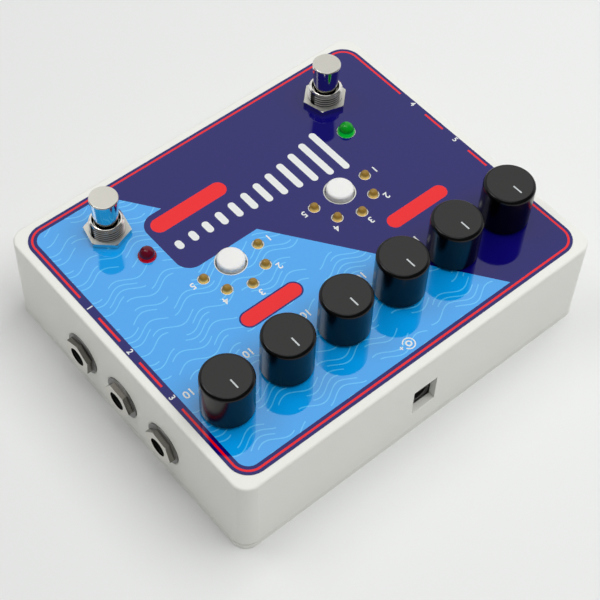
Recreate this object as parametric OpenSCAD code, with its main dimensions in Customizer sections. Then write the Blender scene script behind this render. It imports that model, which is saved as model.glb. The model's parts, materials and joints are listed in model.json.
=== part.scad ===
// Delay pedal: a die-cast case that carries six knobs, two footswitches, two push
// buttons, twelve lamps, six plug jacks and a power inlet. Sizes are in millimetres.
// The origin is at the middle of the base. +Z is up, +Y is the rear edge with the
// knobs, and +X is the side of the input jack.

/* [Case] */
// Width of the case at its base
case_w = 145; // [142:0.5:160]
// Depth of the case at its base
case_d = 121; // [118:0.5:135]
// Height of the case with its lid, up to the label
case_h = 35.8; // [35:0.1:42]
// Thickness of the side walls
wall_t = 2.4; // [2:0.1:3]
// Thickness of the roof
roof_t = 2.4; // [2:0.1:2.8]
// How far each wall leans in between the lid and the roof
draft = 0.5; // [0.2:0.1:0.8]
// Radius of the upright corners at the base
corner_r = 6; // [4.5:0.5:8]
// Radius along the edge of the roof
edge_r = 0.8; // [0.6:0.1:1.8]
// Radius inside the case where walls meet the roof
inner_edge_r = 1; // [0.6:0.1:1.4]
// Radius of the screw bosses inside the corners
boss_r = 4; // [3.5:0.1:4.5]
// How far a boss runs into the walls beside it
boss_sink = 0.8; // [0.6:0.1:1.2]

/* [Lid and screws] */
// Thickness of the lid
lid_t = 2; // [1.6:0.1:2.6]
// Radius of the lid's corners
lid_corner_r = 5.4; // [3.5:0.1:6.5]
// Gap that shows between the lid and the walls, which the bosses hold open
seam_gap = 0.2; // [0.1:0.05:0.4]
// Height of the lid's rim above the lid
rim_h = 2.5; // [1.5:0.1:3.5]
// Thickness of the lid's rim
rim_t = 1.6; // [1.2:0.1:2.2]
// Gap between the rim and the walls
rim_gap = 0.3; // [0.2:0.05:0.5]
// Radius of a lid screw's shank
screw_r = 1.5; // [1.2:0.1:1.7]
// Radius of a lid screw's countersunk head
screw_head_r = 2.9; // [2.4:0.1:3.2]
// Length of a lid screw
screw_l = 12; // [8:0.5:16]

/* [Label] */
// Width of the printed label
label_w = 138; // [132:0.5:139]
// Depth of the printed label
label_d = 114; // [110:0.5:115]
// Thickness of the label
label_t = 0.2; // [0.1:0.05:0.4]
// Corner radius of the label
label_r = 7; // [4:0.5:9]
// How far the label stays back from each hole's edge
label_back = 0.2; // [0.1:0.05:0.3]

/* [Knobs and pots] */
// Distance between neighbouring knobs
knob_pitch = 22.64; // [20:0.1:23]
// Row of the knobs, back from the middle
knob_y = 33.8; // [32:0.1:36]
// Radius of a knob
knob_r = 8.3; // [7.8:0.1:9.5]
// Height of a knob
knob_h = 15.3; // [14:0.1:17]
// Gap between a knob and the label
knob_lift = 1; // [0.6:0.1:1.5]
// Radius of a knob's top edge
knob_edge_r = 1.2; // [0.5:0.1:1.8]
// Wall of a knob's skirt
knob_skirt_t = 1.5; // [1.2:0.1:1.7]
// Thickness of a knob's top
knob_top_t = 2.2; // [1.8:0.1:3]
// Radius of the hub inside a knob
knob_hub_r = 4.6; // [4.2:0.1:5.2]
// Length of the pointer groove on a knob
pointer_l = 3.6; // [2.5:0.1:4.5]
// Width of the pointer groove
pointer_w = 0.55; // [0.4:0.05:0.9]
// Distance from a knob's rim to the pointer groove
pointer_in = 3.2; // [1.3:0.1:3.6]
// Radius of a pot's shaft
shaft_r = 3; // [2.8:0.05:3.1]
// Depth of the flat on a pot's shaft
shaft_flat = 1.5; // [0.8:0.1:1.8]
// Width of a pot's body
pot_w = 9.8; // [9.4:0.1:12]
// Depth of a pot's body, front to rear
pot_d = 11; // [10:0.1:14]
// Height of a pot's body, from the board to the roof
pot_h = 9.1; // [8.4:0.1:9.6]
// Thickness of the rotor inside a pot
rotor_t = 1.5; // [1:0.1:2]
// How far the rotor stands out round the shaft
rotor_rim = 0.9; // [0.6:0.1:1]
// Thickness of a pot's floor under the rotor
pot_floor_t = 2; // [1.5:0.1:3]
// Radius of a pot's threaded bushing
pot_thread_r = 3.5; // [3.4:0.05:3.8]
// Width of a pot nut across its flats
pot_nut_af = 10; // [9:0.1:10.5]
// Thickness of a pot nut
pot_nut_t = 2; // [1.6:0.1:2.2]
// Radius of a pot washer
pot_washer_r = 5.6; // [5:0.1:6]
// Thickness of a pot washer
pot_washer_t = 0.5; // [0.3:0.05:0.6]

/* [Footswitches] */
// Distance of each footswitch from the middle, sideways
foot_x = 45.75; // [42:0.1:50]
// Row of the footswitches, negative is to the front
foot_y = -41.2; // [-43:0.1:-40.2]
// Height of a footswitch cap above the label
cap_top = 17; // [15:0.1:20]
// Radius of a footswitch cap at its top
cap_r = 4.75; // [4.4:0.05:4.95]
// Radius of the cap at its lower end
neck_r = 3.9; // [3.3:0.05:4]
// Radius of the plunger's shaft
plunger_r = 4.1; // [4:0.05:4.3]
// How far the plunger's shaft ends below the bushing's rim
shaft_sink = 1.5; // [0.5:0.1:3]
// Radius of the cap's top edge
cap_edge_r = 0.4; // [0.2:0.05:0.8]
// Travel of a footswitch
foot_travel = 3.5; // [2:0.1:4]
// Radius of the threaded bushing
bush_r = 5.8; // [5.7:0.05:6.3]
// Height of the bushing above the label
bush_top = 6.8; // [6:0.1:8]
// Slope round the bushing's rim
bush_rim = 0.6; // [0.3:0.05:0.7]
// Radius of the bushing's open mouth
mouth_r = 4.7; // [4.5:0.05:4.9]
// Depth of the bushing's open mouth
mouth_depth = 4; // [2:0.1:5]
// Width of the key slot along the bushing
slot_w = 2; // [1:0.1:2.4]
// Depth of the key slot
slot_d = 0.6; // [0.3:0.05:0.8]
// Width of a footswitch nut across its flats
foot_nut_af = 13.6; // [13:0.1:15]
// Turn of the nut on the +X footswitch
bypass_nut_turn = 18; // [0:1:59]
// Turn of the nut on the -X footswitch
tap_nut_turn = 43; // [0:1:59]
// Thickness of the nut above the label
foot_nut_t = 1.8; // [1.5:0.1:3]
// Thickness of the nut under the roof
inner_nut_t = 2; // [1.5:0.1:2.5]
// Radius of the lock washer under the roof
foot_washer_r = 8; // [7.4:0.1:8.5]
// Thickness of the lock washer
foot_washer_t = 0.6; // [0.4:0.05:0.8]
// Width of the footswitch body
can_w = 16; // [15:0.1:17]
// Depth of the footswitch body, front to rear
can_d = 17.5; // [16:0.1:17.8]
// Height of the footswitch body
can_h = 17; // [16:0.1:18]
// Depth of the well in the footswitch body
well_depth = 13; // [12:0.1:13.5]
// Thickness of the plunger's flange
flange_t = 1.6; // [1.2:0.1:2]
// How far the plunger's flange stands out
flange_rim = 0.6; // [0.4:0.1:0.8]
// Length of a footswitch's soldering lugs
lug_l = 3.5; // [3:0.1:4.5]
// Width of a lug, front to rear
lug_d = 2.4; // [2:0.1:3]
// Distance of a lug from the switch's axis
lug_x = 4; // [3:0.1:5]
// Thickness of the cover plate on the footswitch body
plate_t = 1.2; // [0.8:0.1:1.5]
// Wire diameter of the return spring
spring_wire = 0.8; // [0.6:0.05:1]
// Turns of the return spring
spring_turns = 5; // [4:1:6]
// Radius of the connecting leads
lead_r = 0.6; // [0.4:0.05:0.7]

/* [Lamps and buttons] */
// Distance of the two large lamps from the middle, sideways
lamp_x = 41.75; // [40:0.1:44]
// Row of the two large lamps
lamp_y = -25.5; // [-26:0.1:-22]
// Radius of a large lamp
lamp_r = 2.5; // [2.3:0.05:2.7]
// Height of a large lamp above the label
lamp_top = 3.6; // [3.5:0.1:5.5]
// Width of the flange round a lamp's foot
lamp_flange = 0.4; // [0.3:0.05:0.5]
// Length of a large lamp's lens
lamp_body_h = 4.1; // [4:0.1:9]
// Length of a small lamp's lens
dot_body_h = 5.3; // [5:0.1:5.6]
// Radius of a small lamp
dot_r = 1.5; // [1.4:0.05:1.6]
// Height of a small lamp above the label
dot_top = 2; // [2:0.1:3]
// Radius of the arc of small lamps round a button
dot_ring_r = 10.95; // [10:0.05:12]
// Small lamps round each button
dot_count = 5; // [3:1:7]
// Distance of the buttons from the middle, sideways
button_x = 22.7; // [20:0.1:25]
// Row of the buttons
button_y = -7; // [-9:0.1:-5]
// Radius of a button
button_r = 4.6; // [4:0.05:5]
// Height of a button above the label
button_top = 2; // [1.5:0.1:3]
// Radius of a button's top edge
button_edge_r = 0.8; // [0.3:0.1:1.2]
// Travel of a button
button_travel = 0.5; // [0.3:0.05:0.8]
// Width of a button's switch on the board
tact_w = 6.2; // [6:0.1:7]
// Height of a button's switch on the board
tact_h = 4; // [3.8:0.1:4.4]

/* [Jacks] */
// Distance between neighbouring jacks
jack_pitch = 21.2; // [20.5:0.1:22]
// Row of the middle jack
jack_mid_y = 0.5; // [-1:0.1:1]
// Radius of the bore that takes the plug
jack_bore_r = 3.2; // [3.18:0.01:3.3]
// Radius of the jack's thread
jack_thread_r = 4.5; // [4.4:0.05:4.8]
// Length of the bore inside the housing
jack_sleeve_l = 6; // [4:0.5:8]
// Wall under the bore of a jack's housing
jack_floor_t = 3.4; // [2.6:0.1:4]
// Width of a jack's spring strip
contact_w = 3; // [2:0.1:3.4]
// Thickness of a jack's spring strip
contact_t = 0.5; // [0.3:0.05:0.6]
// Height of the jack's axis under the board
jack_drop = 7.7; // [7.4:0.1:8.2]
// Width of a jack's housing
jack_w = 15.6; // [14:0.1:17]
// Length of a jack's housing
jack_l = 26; // [24:0.5:28]
// Width of a jack nut across its flats
jack_nut_af = 11; // [10.6:0.1:12]
// Thickness of a jack nut
jack_nut_t = 2; // [1.8:0.1:2.6]
// Thickness of the nut's lip round the plug
jack_lip_t = 0.6; // [0.4:0.05:0.8]
// Height of the sloped edge on a nut
nut_chamfer = 0.2; // [0.15:0.05:0.7]
// Radius of a jack washer
jack_washer_r = 7.3; // [7:0.1:7.8]
// Thickness of a jack washer
jack_washer_t = 0.5; // [0.3:0.05:0.7]
// Least depth of the flat spot that a jack washer sits on
spot_depth = 0.1; // [0.05:0.05:0.3]

/* [Power inlet] */
// Width of the power socket
dc_w = 9; // [8.5:0.1:10]
// Height of the power socket
dc_h = 11; // [10.4:0.1:12]
// Length of the power socket
dc_l = 14; // [12:0.1:16]
// Height of the socket's axis under the board
dc_drop = 6.4; // [6:0.1:6.8]
// Radius of the hole for the power plug
dc_hole_r = 3.15; // [2.9:0.05:3.4]
// Depth of the hole for the power plug
dc_hole_l = 10; // [9:0.1:11]
// Radius of the socket's pin
dc_pin_r = 1.05; // [0.8:0.05:1.25]
// How far the pin stays behind the socket's face
dc_pin_back = 1; // [0.5:0.1:2]
// Length of the pin's root in the socket
dc_root_l = 2; // [1:0.1:3]
// How much wider the pin's root is
dc_root_rim = 0.25; // [0.1:0.05:0.5]
// Gap between the socket and the edge of its window
window_gap = 0.3; // [0.2:0.05:0.6]

/* [Board] */
// Thickness of the circuit board
board_t = 1.6; // [1.2:0.1:1.8]
// Gap between the board and the side walls
board_gap = 3; // [2:0.1:5]
// Front edge of the board
board_front = -30.5; // [-31:0.1:-29.6]

/* [Clearances] */
// Gap of a shaft, plunger or stem in its guide
run_gap = 0.05; // [0.02:0.01:0.09]
// Gap between pieces pressed or screwed together
fit_gap = 0.02; // [0.01:0.01:0.05]
// Gap between a fixed piece and its clearance hole
hole_gap = 0.2; // [0.1:0.05:0.25]
// Gap between moving pieces and what they pass
move_gap = 0.4; // [0.3:0.05:0.5]

/* [Hidden] */
$fn = 64;
// Extra length of a cutting tool past the face it cuts
cut = 1;
// How far a rounded roof edge stays inside the faces that it joins
edge_ease = 0.02;

// Heights that the pieces share
roof_under = case_h - roof_t;
label_top = case_h + label_t;
board_top = roof_under - pot_h;
board_bottom = board_top - board_t;
jack_z = board_bottom - jack_drop;
dc_z = board_bottom - dc_drop;
lean = atan(draft / (case_h - lid_t));

// Half width of a leaning wall face at height z, for a half width h at the lid
function face_at(h, z) = h - draft * (z - lid_t) / (case_h - lid_t);

// Places of the pieces that repeat
function knob_x(i) = (2.5 - i) * knob_pitch;
function jack_y(i) = jack_mid_y + (i - 1) * jack_pitch;
function dot_angle(i) = 180 * i / (dot_count - 1);
sides = [1, -1];
knobs = [0:5];
jacks = [0:2];

// The walls at the jacks and at the power inlet
boss_in = wall_t + boss_r - boss_sink;
jack_hole_r = jack_thread_r + hole_gap;
spot_r = jack_washer_r + move_gap;
spot_x = face_at(case_w / 2, jack_z + spot_r) - spot_depth;
jack_seat_x = face_at(case_w / 2 - wall_t, board_bottom) - hole_gap / 2;
jack_nut_x = spot_x + jack_washer_t;
jack_face_x = jack_nut_x + jack_nut_t;
dc_face_y = face_at(case_d / 2 - wall_t, board_bottom) - hole_gap / 2;

// Radii of the holes in the roof
pot_hole_r = pot_thread_r + hole_gap;
foot_hole_r = bush_r + hole_gap;
lamp_hole_r = lamp_r + lamp_flange + hole_gap / 2;
dot_flange_r = dot_r + lamp_flange;
dot_hole_r = dot_flange_r + hole_gap / 2;
button_hole_r = button_r + move_gap;

// A plate with round corners
module round_plate(w, d, r, t) {
    linear_extrude(t) {
        square([w, d - 2 * r], center = true);
        square([w - 2 * r, d], center = true);
        for (x = sides, y = sides)
            translate([x * (w / 2 - r), y * (d / 2 - r)]) circle(r);
    }
}

// A disc with a rounded top edge
module round_disc(r, h, e) {
    rotate_extrude() {
        square([r, h - e]);
        square([r - e, h]);
        translate([r - e, h - e]) circle(e);
    }
}

// A six-sided block that stands on z = 0, with its upper corners cut to a cone
module hex_block(af, t) {
    corner = af / cos(30) / 2;
    slope = nut_chamfer * tan(60);
    intersection() {
        cylinder(r = corner, h = t, $fn = 6);
        union() {
            cylinder(r = corner + cut, h = t - nut_chamfer);
            translate([0, 0, t - nut_chamfer]) cylinder(r1 = corner, r2 = corner - slope, h = nut_chamfer);
        }
    }
}

module hex_nut(af, t, hole_r) {
    difference() {
        hex_block(af, t);
        translate([0, 0, -cut]) cylinder(r = hole_r, h = t + 2 * cut);
    }
}

// A flat ring that stands on z = 0
module ring(r, hole_r, t) {
    difference() {
        cylinder(r = r, h = t);
        translate([0, 0, -cut]) cylinder(r = hole_r, h = t + 2 * cut);
    }
}

// Half section of a leaning wall under a rounded roof edge
module wall_section(h, low, high, e) {
    mid_z = high - e;
    mid_x = face_at(h, mid_z) - e / cos(lean);
    polygon([[0, low], [face_at(h, low), low],
        [mid_x + e * cos(lean), mid_z + e * sin(lean)], [mid_x, high], [0, high]]);
    translate([mid_x, mid_z]) circle(e - edge_ease);
}

// A block with leaning walls, rounded upright corners and a rounded roof edge
module drafted_block(w, d, r, low, high, e) {
    rotate([90, 0, 0]) linear_extrude(d - 2 * r, center = true)
        for (m = [0, 1]) mirror([m, 0]) wall_section(w / 2, low, high, e);
    rotate([90, 0, 90]) linear_extrude(w - 2 * r, center = true)
        for (m = [0, 1]) mirror([m, 0]) wall_section(d / 2, low, high, e);
    for (mx = [0, 1], my = [0, 1]) mirror([mx, 0, 0]) mirror([0, my, 0])
        translate([w / 2 - r, d / 2 - r, 0])
            rotate_extrude(angle = 90) wall_section(r, low, high, e);
}

// Puts its children at each corner boss
module at_bosses() {
    for (x = sides, y = sides)
        translate([x * (case_w / 2 - boss_in), y * (case_d / 2 - boss_in), 0]) children();
}

// Puts its children at each small lamp round the button on side s
module at_dots(s) {
    for (i = [0:dot_count - 1])
        translate([s * button_x + dot_ring_r * cos(dot_angle(i)),
            button_y + dot_ring_r * sin(dot_angle(i)), 0]) children();
}

// Turns its children from +Z to point out of the side wall s, at jack i
module at_jack(s, i) {
    translate([0, jack_y(i), jack_z]) rotate([0, s * 90, 0]) children();
}

// Every hole through the roof, made wider by extra
module roof_holes(extra) {
    for (i = knobs) translate([knob_x(i), knob_y, 0]) cylinder(r = pot_hole_r + extra, h = 2 * case_h);
    for (s = sides) {
        translate([s * foot_x, foot_y, 0]) cylinder(r = foot_hole_r + extra, h = 2 * case_h);
        translate([s * lamp_x, lamp_y, 0]) cylinder(r = lamp_hole_r + extra, h = 2 * case_h);
        translate([s * button_x, button_y, 0]) cylinder(r = button_hole_r + extra, h = 2 * case_h);
        at_dots(s) cylinder(r = dot_hole_r + extra, h = 2 * case_h);
    }
}

// Case
module enclosure() {
    color("white") difference() {
        union() {
            difference() {
                drafted_block(case_w, case_d, corner_r, lid_t + seam_gap, case_h, edge_r);
                drafted_block(case_w - 2 * wall_t, case_d - 2 * wall_t, corner_r - wall_t,
                    lid_t - cut, roof_under, inner_edge_r);
            }
            at_bosses() translate([0, 0, lid_t])
                cylinder(r = boss_r, h = roof_under + roof_t / 2 - lid_t);
        }
        roof_holes(0);
        at_bosses() translate([0, 0, lid_t - cut]) cylinder(r = screw_r + run_gap, h = screw_l + cut);
        for (s = sides, i = jacks) at_jack(s, i) {
            translate([0, 0, case_w / 2 - 2 * wall_t]) cylinder(r = jack_hole_r, h = 4 * wall_t);
            translate([0, 0, spot_x]) cylinder(r = spot_r, h = wall_t);
        }
        translate([-dc_w / 2 - window_gap, case_d / 2 - 2 * wall_t, board_bottom - dc_h - window_gap])
            cube([dc_w + 2 * window_gap, 4 * wall_t, dc_h + 2 * window_gap]);
    }
}

module bottom_lid() {
    inner_w = case_w - 2 * (wall_t + rim_gap);
    inner_d = case_d - 2 * (wall_t + rim_gap);
    free = 2 * (boss_in + boss_r + rim_gap);
    head_depth = screw_head_r - screw_r;
    color("white") difference() {
        union() {
            round_plate(case_w, case_d, lid_corner_r, lid_t);
            for (s = sides) {
                translate([s * (inner_w - rim_t) / 2, 0, lid_t + rim_h / 2 - cut / 2])
                    cube([rim_t, case_d - free, rim_h + cut], center = true);
                translate([0, s * (inner_d - rim_t) / 2, lid_t + rim_h / 2 - cut / 2])
                    cube([case_w - free, rim_t, rim_h + cut], center = true);
            }
        }
        at_bosses() {
            translate([0, 0, -cut]) cylinder(r = screw_r + hole_gap, h = lid_t + 2 * cut);
            cylinder(r1 = screw_head_r + hole_gap, r2 = screw_r + hole_gap, h = head_depth);
        }
    }
}

module lid_screws() {
    head_depth = screw_head_r - screw_r;
    cross_l = 3.4;
    cross_w = 0.5;
    color("silver") at_bosses() difference() {
        union() {
            translate([0, 0, hole_gap / 2]) cylinder(r1 = screw_head_r, r2 = screw_r, h = head_depth);
            translate([0, 0, head_depth / 2]) cylinder(r = screw_r, h = screw_l - head_depth / 2);
        }
        for (a = [0, 90]) rotate(a)
            cube([cross_l, cross_w, head_depth], center = true);
    }
}

module face_label() {
    color("royalblue") difference() {
        translate([0, 0, case_h]) round_plate(label_w, label_d, label_r, label_t);
        roof_holes(label_back);
    }
}

// Board and what is soldered under it
module main_board() {
    half_w = face_at(case_w / 2 - wall_t, board_top) - board_gap;
    rear = face_at(case_d / 2 - wall_t, board_top) - board_gap / 2;
    notch = boss_in + boss_r + hole_gap;
    color("darkgreen") difference() {
        translate([-half_w, board_front, board_bottom]) cube([2 * half_w, rear - board_front, board_t]);
        for (s = sides)
            translate([s * case_w / 2, case_d / 2, board_bottom + board_t / 2])
                cube([2 * notch, 2 * notch, board_t + 2 * cut], center = true);
    }
}

// A chip in a two-row case with legs up to the board
module chip(pins, pitch, width) {
    length = pins / 2 * pitch;
    body_t = 3.3;
    stand = 0.6;
    leg_w = 0.5;
    leg_h = stand + body_t / 2;
    translate([-length / 2, -width / 2, board_bottom - stand - body_t]) cube([length, width, body_t]);
    for (i = [0:pins / 2 - 1], s = sides)
        translate([(i + 0.5) * pitch - (length + leg_w) / 2, s * width / 2 - leg_w, board_bottom - leg_h])
            cube([leg_w, 2 * leg_w, leg_h]);
}

module board_chips() {
    leg_pitch = 2.54;
    chip_w = 6.4;
    row_gap = 16;
    color("dimgray") {
        for (x = sides, y = sides) translate([x * row_gap, y * row_gap, 0]) chip(8, leg_pitch, chip_w);
        chip(18, leg_pitch, chip_w);
    }
}

module board_capacitors() {
    radius = 3.15;
    height = 11.5;
    stand = 0.3;
    wire_r = 0.3;
    row_pitch = 9;
    color("darkslateblue") for (i = [-2, -1, 1, 2]) translate([i * row_pitch, knob_y, 0]) {
        translate([0, 0, board_bottom - stand - height]) cylinder(r = radius, h = height);
        for (s = sides) translate([s * radius / 2, 0, board_bottom - 2 * stand])
            cylinder(r = wire_r, h = 2 * stand);
    }
}

// Knobs and pots
hub_lift = pot_washer_t + pot_nut_t + cut + move_gap;
thread_top = label_top + pot_washer_t + pot_nut_t + cut;
hub_z = label_top + hub_lift;
knob_z = label_top + knob_lift;
shaft_top = knob_z + knob_h - knob_top_t;

// Section of a shaft with its flat on the +Y side
module d_section(r) {
    intersection() {
        circle(r);
        translate([-r, -r]) square([2 * r, 2 * r - shaft_flat]);
    }
}

module knob(i) {
    inside_r = knob_r - knob_skirt_t;
    rib_w = 1.2;
    rib_l = 2 * knob_r - knob_skirt_t;
    inside_h = knob_h - knob_top_t;
    hub_h = knob_h - knob_top_t / 2 - hub_z + knob_z;
    pointer_depth = 0.3;
    color("dimgray") translate([knob_x(i), knob_y, knob_z]) difference() {
        union() {
            difference() {
                round_disc(knob_r, knob_h, knob_edge_r);
                translate([0, 0, -cut]) cylinder(r = inside_r, h = inside_h + cut);
            }
            translate([0, 0, hub_z - knob_z]) {
                cylinder(r = knob_hub_r, h = hub_h);
                for (a = [45, 135]) rotate(a) translate([-rib_l / 2, -rib_w / 2, cut])
                    cube([rib_l, rib_w, hub_h - cut]);
            }
        }
        translate([0, 0, hub_z - knob_z - cut]) linear_extrude(shaft_top + fit_gap - hub_z + cut)
            d_section(shaft_r + fit_gap);
        translate([-pointer_w / 2, knob_r - pointer_in - pointer_l, knob_h - pointer_depth])
            cube([pointer_w, pointer_l, pointer_depth + cut]);
    }
}

// Heights of the rotor inside a pot
rotor_r = shaft_r + rotor_rim;
rotor_room_z = board_top + pot_floor_t;
rotor_room_h = rotor_t + 2 * move_gap;

module pot_shaft(i) {
    rotor_z = rotor_room_z + move_gap;
    color("silver") translate([knob_x(i), knob_y, 0]) {
        translate([0, 0, rotor_z]) cylinder(r = rotor_r, h = rotor_t);
        translate([0, 0, rotor_z]) cylinder(r = shaft_r, h = hub_z - rotor_z - cut / 2);
        translate([0, 0, hub_z - cut]) linear_extrude(shaft_top - hub_z + cut) d_section(shaft_r);
    }
}

module pot(i) {
    pot_corner_r = 0.8;
    color("slategray") translate([knob_x(i), knob_y, 0]) difference() {
        union() {
            translate([0, 0, board_top]) round_plate(pot_w, pot_d, pot_corner_r, pot_h);
            translate([0, 0, roof_under - cut])
                cylinder(r = pot_thread_r, h = thread_top - roof_under + cut);
        }
        translate([0, 0, rotor_room_z]) cylinder(r = rotor_r + move_gap, h = rotor_room_h);
        translate([0, 0, rotor_room_z]) cylinder(r = shaft_r + run_gap, h = 2 * case_h);
    }
}

module pot_nuts() {
    color("silver") for (i = knobs) translate([knob_x(i), knob_y, label_top + pot_washer_t])
        hex_nut(pot_nut_af, pot_nut_t, pot_thread_r + fit_gap);
}

module pot_washers() {
    color("silver") for (i = knobs) translate([knob_x(i), knob_y, label_top])
        ring(pot_washer_r, pot_thread_r + hole_gap / 2, pot_washer_t);
}

// Footswitches
plate_top = roof_under - foot_washer_t - inner_nut_t;
can_top = plate_top - plate_t;
can_bottom = can_top - can_h;
flange_r = cap_r + flange_rim;
flange_top = can_top - move_gap;
well_r = flange_r + move_gap;
well_floor = can_top - well_depth;
lead_z = can_bottom - lug_l / 2;

// Puts its children at the footswitch on side s
module at_foot(s) {
    translate([s * foot_x, foot_y, 0]) children();
}

module switch_bushing(s) {
    rim_z = label_top + bush_top;
    mouth_z = rim_z - mouth_depth;
    color("silver") at_foot(s) difference() {
        union() {
            translate([0, 0, can_top + plate_t / 2])
                cylinder(r = bush_r, h = rim_z - bush_rim - can_top - plate_t / 2);
            translate([0, 0, rim_z - bush_rim])
                cylinder(r1 = bush_r, r2 = bush_r - bush_rim, h = bush_rim);
            translate([-can_w / 2, -can_d / 2, can_top]) cube([can_w, can_d, plate_t]);
        }
        translate([0, 0, can_top - cut]) cylinder(r = plunger_r + run_gap, h = case_h);
        translate([0, 0, mouth_z]) cylinder(r = mouth_r, h = case_h);
        translate([bush_r - slot_d, -slot_w / 2, plate_top]) cube([slot_d + cut, slot_w, case_h]);
    }
}

module switch_can(s) {
    can_corner_r = 1;
    color("navy") at_foot(s) difference() {
        translate([0, 0, can_bottom]) round_plate(can_w, can_d, can_corner_r, can_h);
        translate([0, 0, well_floor]) cylinder(r = well_r, h = can_h);
    }
}

// A plunger: flange and shaft in the switch, and a cap that widens from the bushing's mouth to its top
module plunger(s) {
    shaft_z = label_top + bush_top - shaft_sink;
    edge_z = label_top + cap_top - cap_edge_r;
    color("gainsboro") at_foot(s) rotate_extrude() {
        translate([0, flange_top - flange_t]) square([flange_r, flange_t]);
        translate([0, flange_top - flange_t / 2]) square([plunger_r, shaft_z - flange_top + flange_t / 2]);
        polygon([[0, shaft_z], [neck_r, shaft_z], [cap_r, edge_z], [0, edge_z]]);
        translate([0, edge_z]) square([cap_r - cap_edge_r, cap_edge_r]);
        translate([cap_r - cap_edge_r, edge_z]) intersection() {
            circle(cap_edge_r);
            square(cap_edge_r);
        }
    }
}

// Points of a coil spring's tube: one ring of corners at angle a along the coil
function coil_ring(a, coil_r, rise, wire_r, corners) = [for (k = [0:corners - 1])
    let (b = 360 * k / corners, q = coil_r + wire_r * cos(b))
    [q * cos(a), q * sin(a), rise * a / 360 + wire_r * sin(b)]];

module coil(coil_r, height, turns, wire_r) {
    corners = 6;
    per_turn = 16;
    steps = turns * per_turn;
    rise = (height - 2 * wire_r) / turns;
    points = [for (j = [0:steps]) each coil_ring(360 * j / per_turn, coil_r, rise, wire_r, corners)];
    skin = [for (j = [0:steps - 1], k = [0:corners - 1])
        let (p = j * corners + k, q = j * corners + (k + 1) % corners)
        each [[p, q + corners, q], [p, p + corners, q + corners]]];
    first = [for (k = [1:corners - 2]) [0, k, k + 1]];
    last = [for (k = [1:corners - 2]) [steps * corners, steps * corners + k + 1, steps * corners + k]];
    translate([0, 0, wire_r]) polyhedron(points, concat(skin, first, last));
}

module return_spring(s) {
    spring_gap = 0.15;
    coil_r = flange_r - spring_wire;
    color("silver") at_foot(s) translate([0, 0, well_floor + spring_gap])
        coil(coil_r, flange_top - flange_t - well_floor - 2 * spring_gap, spring_turns, spring_wire / 2);
}

module footswitch_nuts() {
    color("silver") for (s = sides) at_foot(s) rotate(s > 0 ? bypass_nut_turn : tap_nut_turn) {
        translate([0, 0, label_top]) hex_nut(foot_nut_af, foot_nut_t, bush_r + fit_gap);
        translate([0, 0, plate_top]) hex_nut(foot_nut_af, inner_nut_t, bush_r + fit_gap);
    }
}

module footswitch_washers() {
    color("silver") for (s = sides) at_foot(s) translate([0, 0, roof_under - foot_washer_t])
        ring(foot_washer_r, bush_r + hole_gap / 2, foot_washer_t);
}

module footswitch_lugs() {
    lug_w = 0.8;
    color("silver") for (s = sides, x = sides) at_foot(s)
        translate([x * lug_x - lug_w / 2, -lug_d / 2, can_bottom - lug_l]) cube([lug_w, lug_d, lug_l]);
}

// A lead from each lug, back under the switch and up to the board
module footswitch_leads() {
    bend_r = 2;
    riser_y = board_front + hole_gap + lead_r;
    start_y = foot_y + lug_d / 2;
    color("firebrick") for (s = sides, x = sides) translate([s * foot_x + x * lug_x, 0, lead_z]) {
        translate([0, start_y, 0]) rotate([-90, 0, 0]) cylinder(r = lead_r, h = riser_y - bend_r - start_y);
        translate([0, riser_y - bend_r, bend_r]) rotate([0, 90, 0])
            rotate_extrude(angle = 90) translate([bend_r, 0]) circle(lead_r);
        translate([0, riser_y, bend_r]) cylinder(r = lead_r, h = board_bottom - lead_z - bend_r);
    }
}

// Lamps: a domed lens with a flange and two wires down to the board
module lamp(r, top, flange_r, body_h) {
    flange_h = 1;
    wire_r = 0.25;
    wire_x = 1.27;
    base_z = label_top + top - body_h;
    translate([0, 0, base_z]) rotate_extrude() {
        square([flange_r, flange_h]);
        square([r, body_h - r]);
        translate([0, body_h - r]) intersection() {
            circle(r);
            square(r);
        }
    }
    for (s = sides) translate([s * wire_x, 0, board_top])
        cylinder(r = wire_r, h = base_z - board_top + flange_h / 2);
}

module large_lamp(s) {
    translate([s * lamp_x, lamp_y, 0]) lamp(lamp_r, lamp_top, lamp_r + lamp_flange, lamp_body_h);
}

module status_led() {
    color("firebrick") large_lamp(1);
}

module beat_led() {
    color("green") large_lamp(-1);
}

module small_lamps(s) {
    color("goldenrod") at_dots(s) lamp(dot_r, dot_top, dot_flange_r, dot_body_h);
}

// Buttons
stem_r = 1.75;
collar_rim = 0.5;
collar_r = stem_r + collar_rim;
collar_t = 0.8;
tact_floor_t = 0.8;
collar_z = board_top + tact_floor_t + move_gap + button_travel;
tact_room_h = button_travel + collar_t + 2 * move_gap;
button_skirt = 2.4;

module button(s) {
    cap_z = roof_under - button_skirt;
    color("white") translate([s * button_x, button_y, 0]) {
        translate([0, 0, cap_z]) round_disc(button_r, label_top + button_top - cap_z, button_edge_r);
        translate([0, 0, collar_z]) cylinder(r = stem_r, h = cap_z - collar_z + cut);
        translate([0, 0, collar_z]) cylinder(r = collar_r, h = collar_t);
    }
}

module tact_switch(s) {
    color("dimgray") translate([s * button_x, button_y, board_top]) difference() {
        translate([-tact_w / 2, -tact_w / 2, 0]) cube([tact_w, tact_w, tact_h]);
        translate([0, 0, tact_floor_t]) cylinder(r = collar_r + move_gap, h = tact_room_h);
        translate([0, 0, tact_floor_t]) cylinder(r = stem_r + run_gap, h = case_h);
    }
}

// Jacks: the plug's axis runs along z here, with the wall at z = spot_x
jack_nut_turns = [53, 27, 19];
chamber_r = jack_bore_r + hole_gap;
jack_low = jack_bore_r + jack_floor_t;
groove_depth = chamber_r + contact_t + move_gap;

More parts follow.
